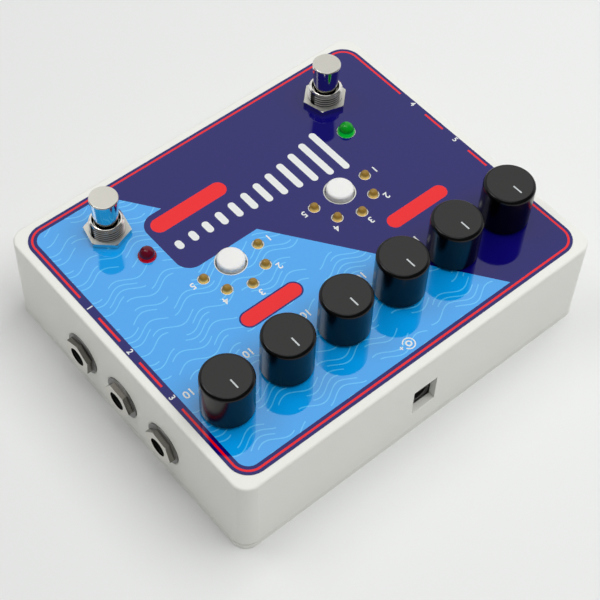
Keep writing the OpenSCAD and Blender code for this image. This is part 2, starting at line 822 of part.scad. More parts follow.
// The housing reaches up to the board: that is -x on the side +1 and +x on the side -1
module jack(s, i) {
    bore_z = jack_seat_x - jack_sleeve_l;
    groove_l = jack_l - jack_sleeve_l;
    color("dimgray") at_jack(s, i) difference() {
        union() {
            translate([s > 0 ? -jack_drop : -jack_low, -jack_w / 2, jack_seat_x - jack_l])
                cube([jack_drop + jack_low, jack_w, jack_l]);
            translate([0, 0, jack_seat_x - cut])
                cylinder(r = jack_thread_r, h = jack_face_x - jack_lip_t - fit_gap - jack_seat_x + cut);
        }
        translate([0, 0, bore_z - cut]) cylinder(r = jack_bore_r, h = case_w);
        translate([0, 0, jack_seat_x - jack_l - cut])
            cylinder(r = chamber_r, h = jack_l - jack_sleeve_l + cut);
        translate([s > 0 ? 0 : -groove_depth, -contact_w / 2 - hole_gap, jack_seat_x - jack_l - cut])
            cube([groove_depth, contact_w + 2 * hole_gap, groove_l - cut]);
    }
}

// Cap nuts: the lip covers the end of the jack's thread
module jack_nuts() {
    color("silver") for (s = sides, i = jacks) at_jack(s, i) translate([0, 0, jack_nut_x])
        rotate(s * jack_nut_turns[i]) difference() {
            hex_block(jack_nut_af, jack_nut_t);
            translate([0, 0, -cut]) cylinder(r = jack_thread_r + fit_gap, h = jack_nut_t - jack_lip_t + cut);
            cylinder(r = jack_bore_r + hole_gap / 2, h = jack_nut_t + cut);
        }
}

module jack_washers() {
    color("silver") for (s = sides, i = jacks) at_jack(s, i) translate([0, 0, spot_x])
        ring(jack_washer_r, jack_thread_r + hole_gap / 2, jack_washer_t);
}

// Spring strips that lie in the grooves of the housings
module jack_contacts() {
    strip_end = 3;
    strip_l = jack_l - jack_sleeve_l - strip_end;
    color("gold") for (s = sides, i = jacks) at_jack(s, i)
        translate([s > 0 ? groove_depth - contact_t : -groove_depth, -contact_w / 2, jack_seat_x - jack_l])
            cube([contact_t, contact_w, strip_l]);
}

// Power inlet: the socket behind its window, with the pin along its axis
module at_inlet(depth) {
    translate([0, dc_face_y - depth, dc_z]) rotate([90, 0, 0]) children();
}

module dc_socket() {
    color("dimgray") difference() {
        translate([-dc_w / 2, dc_face_y - dc_l, board_bottom - dc_h]) cube([dc_w, dc_l, dc_h]);
        at_inlet(-cut) cylinder(r = dc_hole_r, h = dc_hole_l + cut);
        at_inlet(0) cylinder(r = dc_pin_r + dc_root_rim + fit_gap, h = dc_hole_l + dc_root_l);
    }
}

module dc_pin() {
    color("silver") {
        at_inlet(dc_pin_back) cylinder(r = dc_pin_r, h = dc_hole_l - dc_pin_back);
        at_inlet(dc_hole_l) cylinder(r = dc_pin_r + dc_root_rim, h = dc_root_l);
    }
}

enclosure();
bottom_lid();
lid_screws();
face_label();
main_board();
board_chips();
board_capacitors();
knob(0);  // delay_knob
knob(1);  // feedback_knob
knob(2);  // depth_knob
knob(3);  // rate_knob
knob(4);  // gain_knob
knob(5);  // blend_knob
pot_shaft(0);  // delay_pot_shaft
pot_shaft(1);  // feedback_pot_shaft
pot_shaft(2);  // depth_pot_shaft
pot_shaft(3);  // rate_pot_shaft
pot_shaft(4);  // gain_pot_shaft
pot_shaft(5);  // blend_pot_shaft
pot(0);  // delay_pot
pot(1);  // feedback_pot
pot(2);  // depth_pot
pot(3);  // rate_pot
pot(4);  // gain_pot
pot(5);  // blend_pot
pot_nuts();
pot_washers();
switch_bushing(1);  // bypass_switch_bushing
switch_bushing(-1);  // tap_switch_bushing
switch_can(1);  // bypass_switch_can
switch_can(-1);  // tap_switch_can
plunger(1);  // bypass_plunger
plunger(-1);  // tap_plunger
return_spring(1);  // bypass_spring
return_spring(-1);  // tap_spring
footswitch_nuts();
footswitch_washers();
footswitch_lugs();
footswitch_leads();
status_led();
beat_led();
small_lamps(1);  // mode_leds
small_lamps(-1);  // divide_leds
button(1);  // mode_button
button(-1);  // divide_button
tact_switch(1);  // mode_tact_switch
tact_switch(-1);  // divide_tact_switch
jack(1, 0);  // input_jack
jack(1, 1);  // send_jack
jack(1, 2);  // expression_jack
jack(-1, 0);  // output_jack
jack(-1, 1);  // return_jack
jack(-1, 2);  // tap_jack
jack_nuts();
jack_washers();
jack_contacts();
dc_socket();
dc_pin();
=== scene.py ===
# %% [markdown]
# # Dressing a delay pedal
# The pedal was drawn as solids first, so every case wall, nut and knob already has its size and its place.
# This lesson loads those solids as a fixed frame, gives each one a finish, and adds what is too fine for the
# solids: screw threads, paint in the knobs' grooves, ink on the label and the label's own cut-outs.

# %% Load the frame
import json
import math

import bmesh
import bpy
from mathutils import Matrix, Vector

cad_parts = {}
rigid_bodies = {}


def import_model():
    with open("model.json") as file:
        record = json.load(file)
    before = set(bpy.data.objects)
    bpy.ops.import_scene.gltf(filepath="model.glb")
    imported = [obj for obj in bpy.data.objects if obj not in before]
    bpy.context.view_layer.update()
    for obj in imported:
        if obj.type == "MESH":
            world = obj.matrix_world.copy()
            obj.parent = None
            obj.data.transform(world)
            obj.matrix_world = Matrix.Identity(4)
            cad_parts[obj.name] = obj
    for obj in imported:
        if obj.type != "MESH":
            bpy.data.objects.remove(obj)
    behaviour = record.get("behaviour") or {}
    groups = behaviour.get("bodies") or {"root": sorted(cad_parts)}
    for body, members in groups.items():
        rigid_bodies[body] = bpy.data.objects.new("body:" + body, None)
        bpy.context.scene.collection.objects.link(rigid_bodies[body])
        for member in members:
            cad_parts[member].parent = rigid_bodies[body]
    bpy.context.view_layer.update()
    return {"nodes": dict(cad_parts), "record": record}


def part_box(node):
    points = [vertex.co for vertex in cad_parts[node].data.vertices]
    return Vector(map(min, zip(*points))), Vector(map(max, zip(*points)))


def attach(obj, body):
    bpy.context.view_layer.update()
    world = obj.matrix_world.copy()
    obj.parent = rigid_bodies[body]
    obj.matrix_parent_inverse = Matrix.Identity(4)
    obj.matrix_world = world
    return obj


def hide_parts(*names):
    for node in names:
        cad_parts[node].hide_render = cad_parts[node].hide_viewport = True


for leftover in list(bpy.data.objects):
    bpy.data.objects.remove(leftover)
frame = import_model()
nodes = frame["nodes"]
MM = 0.001


# %% Scene helpers
def add_object(name, data):
    made = bpy.data.objects.new(name, data)
    bpy.context.scene.collection.objects.link(made)
    return made


def middle_of(node_name):
    low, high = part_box(node_name)
    return (low + high) / 2


print("Scene helpers ready, middle of the label:", [round(v, 4) for v in middle_of("face_label")])

# %% [markdown]
# ## The camera
# A product photograph like this one is taken with a long lens from above one corner. The viewing angle was
# worked out from the corners of the label and the row of knobs, so it is written here as plain numbers. The
# picture seems to be cut from a wider one, with its middle a little beside the lens's axis. The shift stands
# for that.

# %% Camera
IMAGE_SIDE = 600
FOCAL_PIXELS = 1425.4
SENSOR = 36
CROP_RIGHT, CROP_UP = 50, 12
AIM_RIGHT, AIM_UP = -16.055, -2.447
AZIMUTH, ELEVATION = math.radians(140.886), math.radians(54.875)
CAMERA_DISTANCE = 0.48283
NEAREST_SEEN = 0.01

toward_camera = Vector((math.sin(AZIMUTH) * math.cos(ELEVATION),
                        -math.cos(AZIMUTH) * math.cos(ELEVATION), math.sin(ELEVATION)))
camera_turn = toward_camera.to_track_quat("Z", "Y")
camera_right = camera_turn @ Vector((1, 0, 0))
camera_up = camera_turn @ Vector((0, 1, 0))

lens = bpy.data.cameras.new("long_lens")
lens.sensor_width = SENSOR
lens.lens = FOCAL_PIXELS / IMAGE_SIDE * SENSOR
lens.shift_x = CROP_RIGHT / IMAGE_SIDE
lens.shift_y = CROP_UP / IMAGE_SIDE
lens.clip_start = NEAREST_SEEN
camera = add_object("camera", lens)
camera.rotation_mode = "QUATERNION"
camera.rotation_quaternion = camera_turn
camera.location = (AIM_RIGHT * camera_right + AIM_UP * camera_up) * MM + toward_camera * CAMERA_DISTANCE
bpy.context.scene.camera = camera
print("Lens", round(lens.lens, 1), "mm, camera at", [round(v, 3) for v in camera.location])

# %% [markdown]
# ## Small helpers for materials
# Blender builds a material from nodes. Wiring nodes by hand takes many lines, so small helpers keep the later
# cells short. They make a material, add a node and fill its sockets, do sums on values, and mix two numbers
# or two colours.

# %% Node helpers
def fill(tree, socket, value):
    if isinstance(value, bpy.types.NodeSocket):
        tree.links.new(value, socket)
    else:
        socket.default_value = value


def add_node(tree, kind, inputs=None, **settings):
    node = tree.nodes.new("ShaderNode" + kind)
    for name, value in settings.items():
        setattr(node, name, value)
    for name, value in (inputs or {}).items():
        fill(tree, node.inputs[name], value)
    return node


def new_material(name, **numbers):
    material = bpy.data.materials.new(name)
    material.use_nodes = True
    shader = material.node_tree.nodes["Principled BSDF"]
    for socket, value in numbers.items():
        shader.inputs[socket.replace("_", " ")].default_value = value
    return material, material.node_tree, shader


print("Node helpers ready")


# %% Sums and mixtures
def calc(tree, operation, *values):
    node = add_node(tree, "Math", operation=operation)
    for socket, value in zip(node.inputs, values):
        fill(tree, socket, value)
    return node.outputs[0]


def both(tree, first, second):
    return calc(tree, "MULTIPLY", first, second)


def hypotenuse(tree, first, second):
    squares = calc(tree, "ADD", both(tree, first, first), both(tree, second, second))
    return calc(tree, "SQRT", squares)


def between(tree, share, start, end):
    return calc(tree, "MULTIPLY_ADD", share, end - start, start)


def blend_values(tree, mask, under, over):
    return add_node(tree, "Mix", {0: mask, 2: under, 3: over}).outputs[0]


def blend_colours(tree, mask, under, over):
    return add_node(tree, "Mix", {0: mask, 6: under, 7: over}, data_type="RGBA").outputs[2]


def rgb(red, green, blue):
    return (red, green, blue, 1)


print("Sums and mixtures ready")

# %% [markdown]
# ## Effects that several finishes share
# Powder coat, moulded plastic and plated metal are different materials with common traits: a fine grain, a
# brushed direction, a top that is finished differently from the sides. Each trait is a node group with named
# sockets, built once. A group gives out only values, and each material decides what they change.

# %% A helper that starts a group
def new_group(name, inputs, outputs):
    tree = bpy.data.node_groups.new(name, "ShaderNodeTree")
    for socket, value in inputs.items():
        made = tree.interface.new_socket(socket, in_out="INPUT", socket_type="NodeSocketFloat")
        made.default_value = value
    for socket in outputs:
        tree.interface.new_socket(socket, in_out="OUTPUT", socket_type="NodeSocketFloat")
    source = tree.nodes.new("NodeGroupInput")
    target = tree.nodes.new("NodeGroupOutput")
    return tree, source.outputs, target.inputs


def use_group(tree, group, **numbers):
    node = tree.nodes.new("ShaderNodeGroup")
    node.node_tree = group
    for socket, value in numbers.items():
        fill(tree, node.inputs[socket.replace("_", " ")], value)
    return node.outputs


def object_point(tree):
    return add_node(tree, "TexCoord").outputs["Object"]


def skin_normal(tree):
    return add_node(tree, "NewGeometry").outputs["Normal"]


print("Group helpers ready")

# %% Group: fine grain
BROAD_PER_METRE = 35

grain_group, given, result = new_group(
    "Fine Grain", {"Grains Per Metre": 1500, "Contrast": 1}, ["Height", "Tone"])
point = object_point(grain_group)
fine = add_node(grain_group, "TexNoise", {"Vector": point, "Scale": given["Grains Per Metre"],
                                          "Detail": 3, "Roughness": 0.55})
broad = add_node(grain_group, "TexNoise", {"Vector": point, "Scale": BROAD_PER_METRE, "Detail": 2})
grain_group.links.new(fine.outputs["Fac"], result["Height"])
centred = calc(grain_group, "SUBTRACT", broad.outputs["Fac"], 0.5)
tone = calc(grain_group, "MULTIPLY_ADD", centred, given["Contrast"], 0.5)
grain_group.links.new(tone, result["Tone"])
print("Fine Grain:", len(grain_group.nodes), "nodes")

# %% Group: brushed metal
brushed_group, given, result = new_group("Brushed", {"Lines Per Metre": 9000, "Stretch": 30}, ["Height"])
point = add_node(brushed_group, "SeparateXYZ", {"Vector": object_point(brushed_group)}).outputs
along = calc(brushed_group, "DIVIDE", point["X"], given["Stretch"])
stretched = add_node(brushed_group, "CombineXYZ", {"X": along, "Y": point["Y"], "Z": point["Z"]})
noise = add_node(brushed_group, "TexNoise", {"Vector": stretched.outputs[0],
                                             "Scale": given["Lines Per Metre"], "Detail": 2})
brushed_group.links.new(noise.outputs["Fac"], result["Height"])
print("Brushed:", len(brushed_group.nodes), "nodes")

# %% Group: faces that look up
top_group, given, result = new_group("Top Face", {"From": 0.9, "To": 0.98}, ["Mask"])
facing = add_node(top_group, "SeparateXYZ", {"Vector": skin_normal(top_group)})
ramp = add_node(top_group, "MapRange", {"Value": facing.outputs["Z"], "From Min": given["From"],
                                        "From Max": given["To"]})
top_group.links.new(ramp.outputs[0], result["Mask"])
print("Top Face:", len(top_group.nodes), "nodes")

# %% Group: height inside a piece
rise_group, given, result = new_group("Rise", {"Low": 0.036, "High": 0.04}, ["Share"])
level = add_node(rise_group, "SeparateXYZ", {"Vector": object_point(rise_group)})
ramp = add_node(rise_group, "MapRange", {"Value": level.outputs["Z"], "From Min": given["Low"],
                                         "From Max": given["High"]}, interpolation_type="SMOOTHSTEP")
rise_group.links.new(ramp.outputs[0], result["Share"])
print("Rise:", len(rise_group.nodes), "nodes")


# %% Helpers that feed a shader
def shade(tree, shader, socket, value):
    tree.links.new(value, shader.inputs[socket])


def add_bump(tree, shader, height, strength, depth):
    bump = add_node(tree, "Bump", {"Height": height, "Strength": strength, "Distance": depth})
    shade(tree, shader, "Normal", bump.outputs[0])


print("Shader helpers ready")

# %% [markdown]
# ## The cast case
# The case and its lid are cast aluminium with a white powder coat. The powder melts into a skin with a faint
# orange peel, half-way between matt and gloss. The grain gives the bump, and a broad tone keeps large walls
# from looking like one flat colour.

# %% White powder coat
powder_coat, tree, shader = new_material("powder_coat", IOR=1.5)
grain = use_group(tree, grain_group, Grains_Per_Metre=900, Contrast=0.8)
white = blend_colours(tree, grain["Tone"], rgb(0.80, 0.80, 0.75), rgb(0.85, 0.85, 0.805))
shade(tree, shader, "Base Color", white)
shade(tree, shader, "Roughness", between(tree, grain["Tone"], 0.36, 0.48))
add_bump(tree, shader, grain["Height"], strength=0.12, depth=0.12 * MM)
print("White powder coat made")

# %% [markdown]
# ## The printed label
# The label is one sheet of film with its colours printed behind it, so it is smooth and shiny and mirrors the
# knobs. Its coloured fields are drawn from two numbers, the place across and the place back in millimetres.
# A group measures how far a point lies from a shape with round corners, and serves for the border, the panel
# and the pills.

# %% Group: distance from a rounded shape
shape_group, given, result = new_group(
    "Rounded Shape", {"X": 0, "Y": 0, "Half Width": 10, "Half Depth": 5, "Corner": 1}, ["Distance"])


def past_straight_edge(place, half_size):
    reach = calc(shape_group, "SUBTRACT", given[half_size], given["Corner"])
    return calc(shape_group, "SUBTRACT", calc(shape_group, "ABSOLUTE", given[place]), reach)


over_x = past_straight_edge("X", "Half Width")
over_y = past_straight_edge("Y", "Half Depth")
outside = hypotenuse(shape_group, calc(shape_group, "MAXIMUM", over_x, 0),
                     calc(shape_group, "MAXIMUM", over_y, 0))
inside = calc(shape_group, "MINIMUM", calc(shape_group, "MAXIMUM", over_x, over_y), 0)
whole = calc(shape_group, "SUBTRACT", calc(shape_group, "ADD", outside, inside), given["Corner"])
shape_group.links.new(whole, result["Distance"])
print("Rounded Shape:", len(shape_group.nodes), "nodes")

# %% Label colours and the place on the label
NAVY = rgb(0.004, 0.002, 0.13)
BLUE = rgb(0.0, 0.335, 0.85)
PALE_BLUE = rgb(0.07, 0.51, 0.95)
RED = rgb(0.84, 0.001, 0.005)
MM_PER_METRE = 1 / MM

label_film, film, film_shader = new_material("label_film", IOR=1.58, Coat_IOR=1.8, Coat_Roughness=0.03)
millimetres = add_node(film, "VectorMath", {0: object_point(film), "Scale": MM_PER_METRE}, operation="SCALE")
place = add_node(film, "SeparateXYZ", {"Vector": millimetres.outputs[0]}).outputs
label_x, label_y = place["X"], place["Y"]


def shape_distance(centre, half_width, half_depth, corner):
    return use_group(film, shape_group, X=calc(film, "SUBTRACT", label_x, centre[0]),
                     Y=calc(film, "SUBTRACT", label_y, centre[1]), Half_Width=half_width,
                     Half_Depth=half_depth, Corner=corner)["Distance"]


def below(value, limit):
    return calc(film, "LESS_THAN", value, limit)


def above(value, limit):
    return calc(film, "GREATER_THAN", value, limit)


print("Label place ready")

# %% [markdown]
# The blue field carries a pale design of waves, as on a lake: rows of sine lines across the label, broken at
# random. Each row is cut into stretches, and a White Noise texture gives every stretch its own three random
# numbers: whether it is drawn, where it starts and where it ends.

# %% Broken waves
WAVE_STEP, WAVE_LINE = 2.1, 0.22
WAVE_LENGTH, WAVE_HEIGHT = 15, 1.5
STRETCH = 26
SHORTEN = 0.4 * STRETCH
END_ROOM = 0.8
DRAWN_SHARE = 0.85

swing = calc(film, "SINE", calc(film, "MULTIPLY", label_x, 2 * math.pi / WAVE_LENGTH))
level = calc(film, "SUBTRACT", label_y, calc(film, "MULTIPLY", swing, WAVE_HEIGHT))
row = calc(film, "FLOOR", calc(film, "DIVIDE", level, WAVE_STEP))
row_middle = calc(film, "MULTIPLY", calc(film, "ADD", row, 0.5), WAVE_STEP)
across = calc(film, "SUBTRACT", level, row_middle)
row_start = add_node(film, "TexWhiteNoise", {"W": row}, noise_dimensions="1D").outputs["Value"]
turns = calc(film, "ADD", calc(film, "DIVIDE", label_x, STRETCH), row_start)
stretch_number = calc(film, "FLOOR", turns)
along = calc(film, "MULTIPLY", calc(film, "SUBTRACT", turns, stretch_number), STRETCH)
cell = add_node(film, "CombineXYZ", {"X": row, "Y": stretch_number}).outputs[0]
dice = add_node(film, "TexWhiteNoise", {"Vector": cell}, noise_dimensions="2D").outputs["Color"]
chance = add_node(film, "SeparateColor", {0: dice}).outputs
first_end = calc(film, "MULTIPLY_ADD", chance[0], SHORTEN, END_ROOM)
last_end = calc(film, "SUBTRACT", STRETCH - END_ROOM, calc(film, "MULTIPLY", chance[1], SHORTEN))
past_end = calc(film, "MAXIMUM", calc(film, "SUBTRACT", first_end, along),
                calc(film, "SUBTRACT", along, last_end))
from_line = hypotenuse(film, calc(film, "MAXIMUM", past_end, 0), across)
waves = both(film, below(from_line, WAVE_LINE), below(chance[2], DRAWN_SHARE))
print("Waves every", WAVE_STEP, "mm")

# %% [markdown]
# A slanting line parts the blue field from the navy one. The line runs through two points, so a point's side
# is the sign of a cross product. A navy panel and three red pills lie over both fields, and the border has a
# red pinstripe that breaks off beside each jack. Only the blue field is varnished: it shows a white sheen,
# and a deep clean blue where a knob stands in the way of the light. Each layer that covers the blue takes
# the varnish away.

# %% Fields, panel and pills
SPLIT_FROM, SPLIT_TO = (27.1, -38.3), (-39.6, 54.0)
PANEL = {"centre": (3, -25), "half_width": 33.5, "half_depth": 13, "corner": 5.5}
PILLS = [((23.35, 13.8), 11.4, 2.7), ((-38.1, 13.5), 12.4, 2.7), ((19.5, -32.8), 14.8, 3.0)]
PILL_EDGE = 0.55

split_x, split_y = SPLIT_TO[0] - SPLIT_FROM[0], SPLIT_TO[1] - SPLIT_FROM[1]
from_x = calc(film, "SUBTRACT", label_x, SPLIT_FROM[0])
from_y = calc(film, "SUBTRACT", label_y, SPLIT_FROM[1])
side = calc(film, "SUBTRACT", both(film, from_y, split_x), both(film, from_x, split_y))
print_colour = blend_colours(film, waves, BLUE, PALE_BLUE)
covers = [above(side, 0), below(shape_distance(**PANEL), 0)]
for cover in covers:
    print_colour = blend_colours(film, cover, print_colour, NAVY)
for pill_centre, half_length, pill_r in PILLS:
    pill = shape_distance(pill_centre, half_length, pill_r, pill_r)
    covers.append(below(pill, PILL_EDGE))
    print_colour = blend_colours(film, covers[-1], print_colour, NAVY)
    print_colour = blend_colours(film, below(pill, 0), print_colour, RED)
print("Pills:", len(PILLS))

# %% Border and pinstripe
LABEL_CORNER = 7
BORDER = 2.85
STRIPE_FROM, STRIPE_TO = 1.0, 1.72
JACKS_PER_SIDE = 3
GAP_STEP, GAP_MIDDLE = 20.9, 0.4
GAP_NEAR, GAP_FAR = 4.9, 6.1

label_low, label_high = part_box("face_label")
label_half = (label_high - label_low) / 2 / MM
edge = shape_distance((0, 0), label_half.x, label_half.y, LABEL_CORNER)
on_border = above(edge, -BORDER)
on_stripe = both(film, above(edge, -STRIPE_TO), below(edge, -STRIPE_FROM))
from_middle = calc(film, "SUBTRACT", label_y, GAP_MIDDLE)
from_gap = calc(film, "WRAP", from_middle, GAP_STEP / 2, -GAP_STEP / 2)
gap_half = between(film, below(label_x, 0), GAP_NEAR, GAP_FAR)
by_jacks = both(film, below(calc(film, "ABSOLUTE", from_middle), JACKS_PER_SIDE / 2 * GAP_STEP),
                above(calc(film, "ABSOLUTE", label_x), label_half.x - BORDER))
in_gap = both(film, below(calc(film, "ABSOLUTE", from_gap), gap_half), by_jacks)
on_stripe = both(film, on_stripe, calc(film, "SUBTRACT", 1, in_gap))
print_colour = blend_colours(film, on_border, print_colour, NAVY)
print_colour = blend_colours(film, on_stripe, print_colour, RED)
print("Label", [round(2 * v, 2) for v in label_half.xy], "mm, jacks on each side:", JACKS_PER_SIDE)

# %% Varnish and print
varnish = 1.0
for cover in covers + [on_border]:
    varnish = calc(film, "SUBTRACT", varnish, both(film, varnish, cover))
grain = use_group(film, grain_group, Grains_Per_Metre=2600, Contrast=1)
shade(film, film_shader, "Coat Weight", varnish)
shade(film, film_shader, "Base Color", print_colour)
shade(film, film_shader, "Roughness", between(film, grain["Tone"], 0.045, 0.075))
add_bump(film, film_shader, grain["Height"], strength=0.02, depth=0.01 * MM)
print("Label film:", len(film.nodes), "nodes")

# %% [markdown]
# ## Plated metal
# The footswitch caps, bushings, nuts and washers are brass or steel with a nickel plate, a warm silver.
# Turned sides are almost mirrors. The caps' tops are brushed, so they look soft and pale. The mask of upward
# faces mixes the two in one material.

# %% Nickel plate
nickel, tree, shader = new_material("nickel_plate", Metallic=1)
brushed = use_group(tree, brushed_group, Lines_Per_Metre=2600, Stretch=25)["Height"]
grain = use_group(tree, grain_group, Grains_Per_Metre=700, Contrast=1)
up = use_group(tree, top_group)["Mask"]
silver = blend_colours(tree, grain["Tone"], rgb(0.72, 0.70, 0.645), rgb(0.78, 0.76, 0.71))
shade(tree, shader, "Base Color", blend_colours(tree, up, silver, rgb(0.76, 0.745, 0.67)))
polished = between(tree, grain["Tone"], 0.06, 0.12)
satin = between(tree, brushed, 0.44, 0.60)
shade(tree, shader, "Roughness", blend_values(tree, up, polished, satin))
add_bump(tree, shader, both(tree, brushed, up), strength=0.05, depth=0.04 * MM)
print("Nickel plate made")


# %% Steel, pot metal and brass
def plain_metal(name, dark, light, smoothest, roughest):
    material, tree, shader = new_material(name, Metallic=1)
    brushed = use_group(tree, brushed_group, Lines_Per_Metre=1800, Stretch=12)["Height"]
    shade(tree, shader, "Base Color", blend_colours(tree, brushed, rgb(*dark), rgb(*light)))
    shade(tree, shader, "Roughness", between(tree, brushed, smoothest, roughest))
    add_bump(tree, shader, brushed, strength=0.06, depth=0.03 * MM)
    return material


steel = plain_metal("zinc_steel", (0.52, 0.53, 0.55), (0.62, 0.63, 0.65), 0.25, 0.45)
pot_metal = plain_metal("pot_metal", (0.50, 0.50, 0.50), (0.60, 0.60, 0.60), 0.3, 0.5)
brass = plain_metal("contact_brass", (0.60, 0.43, 0.17), (0.74, 0.56, 0.26), 0.2, 0.4)
washer_steel = plain_metal("washer_steel", (0.24, 0.24, 0.24), (0.31, 0.31, 0.305), 0.38, 0.5)
print("Plain metals made: 4")

# %% [markdown]
# The jack nuts are turned at the front and milled at their six sides. The front is satin and pale. The milled
# sides are smoother, and their darker colour is painted shade: it stands in for the dark room they mirror.
# The way the skin faces tells one from the other.

# %% Plate on the jack nuts
FRONT_FROM, FRONT_TO = 0.8, 0.97

jack_plate, tree, shader = new_material("jack_plate", Metallic=1)
brushed = use_group(tree, brushed_group, Lines_Per_Metre=2600, Stretch=25)["Height"]
facing = add_node(tree, "SeparateXYZ", {"Vector": skin_normal(tree)})
front = add_node(tree, "MapRange", {"Value": calc(tree, "ABSOLUTE", facing.outputs["X"]),
                                    "From Min": FRONT_FROM, "From Max": FRONT_TO}).outputs[0]
# The milled sides get a dark painted shade; the turned front keeps the pale plate.
plate_with_painted_shade = blend_colours(tree, front, rgb(0.20, 0.19, 0.17), rgb(0.74, 0.72, 0.67))
shade(tree, shader, "Base Color", plate_with_painted_shade)
milled, turned = between(tree, brushed, 0.14, 0.26), between(tree, brushed, 0.26, 0.38)
shade(tree, shader, "Roughness", blend_values(tree, front, milled, turned))
add_bump(tree, shader, both(tree, brushed, front), strength=0.05, depth=0.04 * MM)
print("Jack plate made")

# %% [markdown]
# ## Knobs
# The knobs are moulded in black plastic. The mould is blasted at the top, which comes out matt, and polished
# at the side, which mirrors the label round it.
# The top's dark grey is a painted sheen that stands in for the soft reflection of the overhead light.

# %% Black knob plastic
knob_plastic, tree, shader = new_material("knob_plastic", IOR=1.5, Specular_IOR_Level=0.28)
grain = use_group(tree, grain_group, Grains_Per_Metre=3800, Contrast=0.6)
up = use_group(tree, top_group, From=0.975, To=0.997)["Mask"]
# The top's grey is a painted sheen of the overhead light; the plastic itself is black all over.
shiny_black, painted_sheen_grey = rgb(0.001, 0.001, 0.0012), rgb(0.0262, 0.0256, 0.0248)
shade(tree, shader, "Base Color", blend_colours(tree, up, shiny_black, painted_sheen_grey))
side_rough = between(tree, grain["Tone"], 0.17, 0.25)
top_rough = between(tree, grain["Tone"], 0.42, 0.52)
shade(tree, shader, "Roughness", blend_values(tree, up, side_rough, top_rough))
add_bump(tree, shader, both(tree, grain["Height"], up), strength=0.10, depth=0.05 * MM)
print("Knob plastic made")

# %% [markdown]
# ## Lamps and buttons
# The lamps are clear tinted domes. Light that falls in from above gathers near the foot, on the side away
# from the backdrop, so that part of the foot looks bright and the crown dark. The height in the dome and the
# way its skin faces show that on the outside, and a little emission gives back the light that the dome
# gathered.

# %% Tinted lenses
GLOW_SIDE = Vector((0.6, 0.8, 0))
GLOW_FROM, GLOW_TO = -0.35, 0.85
GLOW_STRENGTH = 0.35
MOTTLE = 0.15
BLACK = rgb(0, 0, 0)


def lens_material(name, crown, foot, glow_low, glow_high):
    material, tree, shader = new_material(name, IOR=1.5, Roughness=0.07, Specular_IOR_Level=0.35,
                                          Emission_Strength=GLOW_STRENGTH)
    rise = use_group(tree, rise_group, Low=glow_low, High=glow_high)["Share"]
    grain = use_group(tree, grain_group, Grains_Per_Metre=500, Contrast=0.5)
    facing = add_node(tree, "VectorMath", {0: skin_normal(tree), 1: GLOW_SIDE}, operation="DOT_PRODUCT")
    front = add_node(tree, "MapRange", {"Value": facing.outputs["Value"], "From Min": GLOW_FROM,
                                        "From Max": GLOW_TO}).outputs[0]
    glow = both(tree, front, calc(tree, "SUBTRACT", 1, rise))
    tint = blend_colours(tree, glow, rgb(*crown), rgb(*foot))
    shade(tree, shader, "Emission Color", blend_colours(tree, glow, BLACK, rgb(*foot)))
    shade(tree, shader, "Base Color", blend_colours(tree, both(tree, grain["Tone"], MOTTLE), tint, BLACK))
    return material


red_lens = lens_material("red_lens", (0.13, 0.001, 0.014), (0.60, 0.001, 0.012), 36.7 * MM, 37.2 * MM)
green_lens = lens_material("green_lens", (0.0004, 0.32, 0.013), (0.002, 0.54, 0.05), 36.6 * MM, 37.8 * MM)
amber_lens = lens_material("amber_lens", (0.34, 0.20, 0.035), (0.86, 0.60, 0.17), 36.1 * MM, 37.4 * MM)
print("Lenses made: 3")

# %% Moulded plastics
MOULD_GRAINS = 2500
ROUGH_SPREAD = 0.06


def moulded(name, dark, light, roughness):
    material, tree, shader = new_material(name, IOR=1.5)
    grain = use_group(tree, grain_group, Grains_Per_Metre=MOULD_GRAINS, Contrast=1)
    shade(tree, shader, "Base Color", blend_colours(tree, grain["Tone"], rgb(*dark), rgb(*light)))
    rough = between(tree, grain["Tone"], roughness - ROUGH_SPREAD, roughness + ROUGH_SPREAD)
    shade(tree, shader, "Roughness", rough)
    add_bump(tree, shader, grain["Height"], strength=0.05, depth=0.04 * MM)
    return material


socket_plastic = moulded("socket_plastic", (0.010, 0.010, 0.010), (0.018, 0.018, 0.018), 0.35)
switch_plastic = moulded("switch_plastic", (0.02, 0.05, 0.24), (0.03, 0.075, 0.32), 0.4)
chip_plastic = moulded("chip_plastic", (0.016, 0.016, 0.017), (0.03, 0.03, 0.031), 0.55)
sleeve_film = moulded("sleeve_film", (0.03, 0.03, 0.12), (0.05, 0.05, 0.18), 0.25)
lead_cover = moulded("lead_cover", (0.42, 0.015, 0.015), (0.56, 0.03, 0.025), 0.4)
board_mask = moulded("board_mask", (0.02, 0.13, 0.045), (0.04, 0.20, 0.075), 0.35)
white_ink = moulded("white_ink", (0.74, 0.765, 0.75), (0.80, 0.82, 0.805), 0.35)
pointer_paint = moulded("pointer_paint", (0.52, 0.55, 0.56), (0.58, 0.61, 0.62), 0.4)
print("Moulded finishes made: 8")

# %% Milky button plastic
button_plastic = moulded("button_plastic", (0.82, 0.82, 0.80), (0.86, 0.86, 0.84), 0.36)
milky = button_plastic.node_tree.nodes["Principled BSDF"].inputs
milky["Subsurface Weight"].default_value = 0.7
milky["Subsurface Radius"].default_value = (1, 1, 0.9)
milky["Subsurface Scale"].default_value = 2.5 * MM
print("Button plastic made")

# %% [markdown]
# ## Give each solid its finish
# The record of the part names a material slot for each solid. One table turns slots into the materials above,
# and one loop hands them out. The jack nuts and the washers under them have their own kinds of plate.

# %% Finishes by slot
FINISHES = {
    "white_case": powder_coat, "label_print": label_film, "nickel": nickel, "steel": steel,
    "pot_metal": pot_metal, "contact_brass": brass, "knob_black": knob_plastic, "lamp_red": red_lens,
    "lamp_green": green_lens, "lamp_amber": amber_lens, "button_white": button_plastic,
    "socket_black": socket_plastic, "switch_blue": switch_plastic, "chip_black": chip_plastic,
    "capacitor_sleeve": sleeve_film, "lead_red": lead_cover, "board_green": board_mask,
}
OWN_PLATE = {"jack_washers": washer_steel, "jack_nuts": jack_plate}

